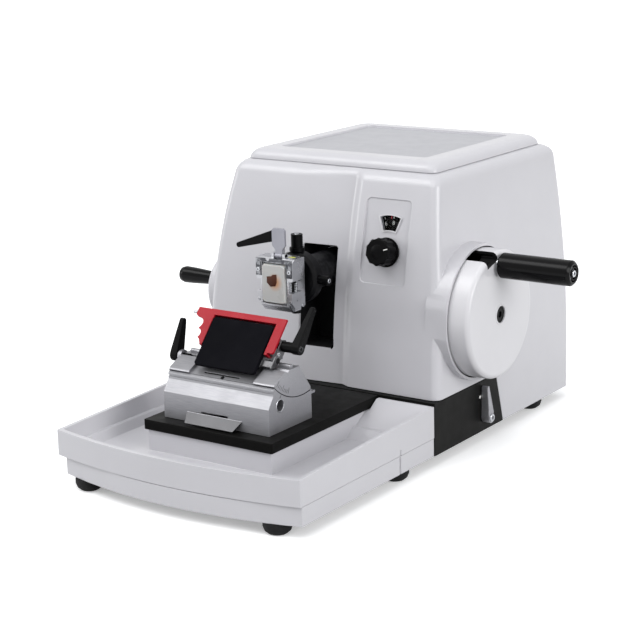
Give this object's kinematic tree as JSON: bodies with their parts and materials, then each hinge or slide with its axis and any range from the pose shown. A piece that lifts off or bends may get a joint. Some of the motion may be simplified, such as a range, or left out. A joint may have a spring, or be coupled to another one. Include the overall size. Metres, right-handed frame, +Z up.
{
  "type": "rotary microtome",
  "caption": "Hand-cranked rotary microtome with white housing, black base, sliding waste tray, tilting specimen head, cassette clamp and blade holder with red guard.",
  "frame": {"origin": "on the bench, below the front plane of the black casting, on the base's centre plane", "axes": "+Z up, -Y towards the user and the waste tray, +X towards the handwheel"},
  "size_m": [0.4558, 0.526, 0.2888],
  "materials": {
    "white_plastic": "satin moulded plastic",
    "white_paint": "fine powder coat",
    "black_paint": "textured black powder coat",
    "black_metal": "blued and oiled steel",
    "black_plastic": "fine-grained moulded plastic",
    "rubber": "matt rubber",
    "cast_iron": "as cast with machined faces",
    "steel": "ground steel",
    "nickel": "bright nickel plate",
    "aluminium": "bead-blasted and anodised",
    "red_plastic": "red plastic",
    "cassette_plastic": "white plastic",
    "wax": "paraffin wax",
    "window": "clear"
  },
  "bodies": {
    "root": {"base_casting": "black_paint", "floor_plate": "cast_iron", "front_base": "white_plastic", "pedestal": "black_paint", "knife_plate": "black_paint", "feet": "rubber", "housing_shell": "white_plastic", "top_cover": "white_plastic", "slot_liner": "black_plastic", "column": "cast_iron", "guide_rods": "steel", "bearing_block": "cast_iron", "main_bearings": "steel", "coarse_gearbox": "cast_iron", "dial_window": "window"},
    "tray": {"waste_tray": "white_plastic"},
    "brake": {"brake_lever": "aluminium", "brake_shaft": "steel"},
    "brake_shoe": {"brake_shoe": "cast_iron"},
    "handwheel": {"handwheel": "white_paint", "hub_cap": "black_plastic", "main_shaft": "steel", "crank_disc": "cast_iron", "crank_roller": "steel", "grip_spindle": "steel"},
    "wheel_grip": {"wheel_grip": "black_plastic"},
    "carriage": {"vertical_slide": "aluminium", "yoke": "steel", "shield_plate": "black_paint", "feed_gearbox": "cast_iron"},
    "feed": {"specimen_cylinder": "black_metal", "head_disc": "black_metal"},
    "feed_screw": {"feed_screw": "steel", "ratchet_wheel": "steel"},
    "pawl": {"feed_pawl": "cast_iron"},
    "spline": {"spline_shaft": "steel"},
    "head_tilt": {"gimbal_ring": "steel"},
    "head_swivel": {"clamp_body": "nickel", "cassette": "cassette_plastic", "wax_block": "wax"},
    "clamp_lever": {"clamp_lever": "nickel"},
    "lock_lever": {"lock_lever": "black_plastic"},
    "tilt_knob": {"tilt_knob": "black_plastic"},
    "swivel_knob": {"swivel_knob": "black_plastic"},
    "coarse": {"coarse_wheel": "white_plastic", "coarse_shaft": "steel"},
    "coarse_grip": {"coarse_grip": "black_plastic"},
    "thickness": {"thickness_knob": "black_plastic", "thickness_dial": "black_plastic"},
    "holder": {"holder_tnut": "steel", "holder_base": "aluminium"},
    "segment": {"holder_segment": "aluminium"},
    "carrier": {"blade_carrier": "steel", "blade": "steel"},
    "press": {"pressure_plate": "black_metal"},
    "guard": {"knife_guard": "red_plastic"},
    "lateral_lever": {"lateral_lever": "black_plastic"},
    "blade_lever": {"blade_lever": "black_plastic"}
  },
  "joints": [
    {"name": "tray_slide", "type": "slide", "parent": "root", "child": "tray", "axis": [0, -1, 0], "range_m": [0, 0.2]},
    {"name": "brake_turn", "type": "hinge", "parent": "root", "child": "brake", "pos_m": [0.1, 0.0955, 0.027], "axis": [1, 0, 0], "range_deg": [0, 60.5]},
    {"name": "brake_shoe_lift", "type": "slide", "parent": "root", "child": "brake_shoe", "axis": [0, 0, 1], "range_m": [0, 0.0015]},
    {"name": "handwheel_turn", "type": "hinge", "parent": "root", "child": "handwheel", "pos_m": [0.1, 0.0785, 0.14], "axis": [1, 0, 0], "continuous": true},
    {"name": "wheel_grip_turn", "type": "hinge", "parent": "handwheel", "child": "wheel_grip", "pos_m": [0.2, 0.076, 0.18994], "axis": [1, 0, 0], "continuous": true},
    {"name": "carriage_slide", "type": "slide", "parent": "root", "child": "carriage", "axis": [0, 0, 1], "range_m": [-0.058, 0]},
    {"name": "specimen_feed", "type": "slide", "parent": "carriage", "child": "feed", "axis": [0, -1, 0], "range_m": [-0.012, 0.012]},
    {"name": "feed_screw_turn", "type": "hinge", "parent": "carriage", "child": "feed_screw", "pos_m": [-0.003, 0.1, 0.178], "axis": [0, 1, 0], "range_deg": [-2161, 2161]},
    {"name": "pawl_swing", "type": "hinge", "parent": "carriage", "child": "pawl", "pos_m": [-0.003, 0.115, 0.178], "axis": [0, 1, 0], "range_deg": [0, 36], "stiffness_Nm_per_rad": 0.05},
    {"name": "spline_turn", "type": "hinge", "parent": "root", "child": "spline", "pos_m": [-0.062, 0.078, 0.2], "axis": [0, 0, 1], "range_deg": [-2161, 2161]},
    {"name": "head_tilt", "type": "hinge", "parent": "feed", "child": "head_tilt", "pos_m": [-0.003, -0.031, 0.178], "axis": [1, 0, 0], "range_deg": [-7, 7]},
    {"name": "head_swivel", "type": "hinge", "parent": "head_tilt", "child": "head_swivel", "pos_m": [-0.003, -0.031, 0.178], "axis": [0, 0, 1], "range_deg": [-7, 7]},
    {"name": "clamp_lever_turn", "type": "hinge", "parent": "head_swivel", "child": "clamp_lever", "pos_m": [-0.0006, -0.0507, 0.2056], "axis": [1, 0, 0], "range_deg": [0, 40]},
    {"name": "lock_lever_turn", "type": "hinge", "parent": "head_swivel", "child": "lock_lever", "pos_m": [-0.009, -0.042, 0.224], "axis": [0, 1, 0], "range_deg": [0, 75]},
    {"name": "tilt_knob_turn", "type": "hinge", "parent": "feed", "child": "tilt_knob", "pos_m": [-0.003, -0.018, 0.204], "axis": [0, 0, 1], "range_deg": [-316, 316]},
    {"name": "swivel_knob_turn", "type": "hinge", "parent": "feed", "child": "swivel_knob", "pos_m": [0.023, -0.018, 0.178], "axis": [1, 0, 0], "range_deg": [-316, 316]},
    {"name": "coarse_turn", "type": "hinge", "parent": "root", "child": "coarse", "pos_m": [-0.15, 0.07, 0.134], "axis": [1, 0, 0], "range_deg": [-2161, 2161]},
    {"name": "coarse_grip_turn", "type": "hinge", "parent": "coarse", "child": "coarse_grip", "pos_m": [-0.18, 0.052, 0.145], "axis": [1, 0, 0], "continuous": true},
    {"name": "thickness_turn", "type": "hinge", "parent": "root", "child": "thickness", "pos_m": [0.0745, 0.02351, 0.2025], "axis": [0, -0.9778, 0.2094], "range_deg": [0, 300]},
    {"name": "holder_slide", "type": "slide", "parent": "root", "child": "holder", "axis": [0, 1, 0], "range_m": [-0.01, 0.03]},
    {"name": "segment_tilt", "type": "hinge", "parent": "holder", "child": "segment", "pos_m": [0.002, -0.1094, 0.152], "axis": [1, 0, 0], "range_deg": [-5, 5]},
    {"name": "carrier_slide", "type": "slide", "parent": "segment", "child": "carrier", "axis": [1, 0, 0], "range_m": [-0.015, 0.015]},
    {"name": "press_tilt", "type": "hinge", "parent": "carrier", "child": "press", "pos_m": [0.002, -0.14531, 0.11636], "axis": [1, 0, 0], "range_deg": [0, 8.1]},
    {"name": "guard_turn", "type": "hinge", "parent": "carrier", "child": "guard", "pos_m": [0.002, -0.12591, 0.13118], "axis": [1, 0, 0], "range_deg": [0, 105]},
    {"name": "lateral_lever_turn", "type": "hinge", "parent": "segment", "child": "lateral_lever", "pos_m": [-0.062, -0.13, 0.117], "axis": [1, 0, 0], "range_deg": [0, 90]},
    {"name": "blade_lever_turn", "type": "hinge", "parent": "carrier", "child": "blade_lever", "pos_m": [0.002, -0.11777, 0.13798], "axis": [1, 0, 0], "range_deg": [0, 70]}
  ],
  "couplings": [
    {"joint": "brake_turn", "follows": "brake_shoe_lift", "rad_per_m": 700},
    {"joint": "coarse_turn", "follows": "specimen_feed", "rad_per_m": 3141.6},
    {"joint": "feed_screw_turn", "follows": "specimen_feed", "rad_per_m": 3141.6},
    {"joint": "spline_turn", "follows": "specimen_feed", "rad_per_m": 3141.6},
    {"joint": "tilt_knob_turn", "follows": "head_tilt", "ratio": 45},
    {"joint": "swivel_knob_turn", "follows": "head_swivel", "ratio": 45},
    {"joint": "press_tilt", "follows": "blade_lever_turn", "ratio": 0.115}
  ]
}
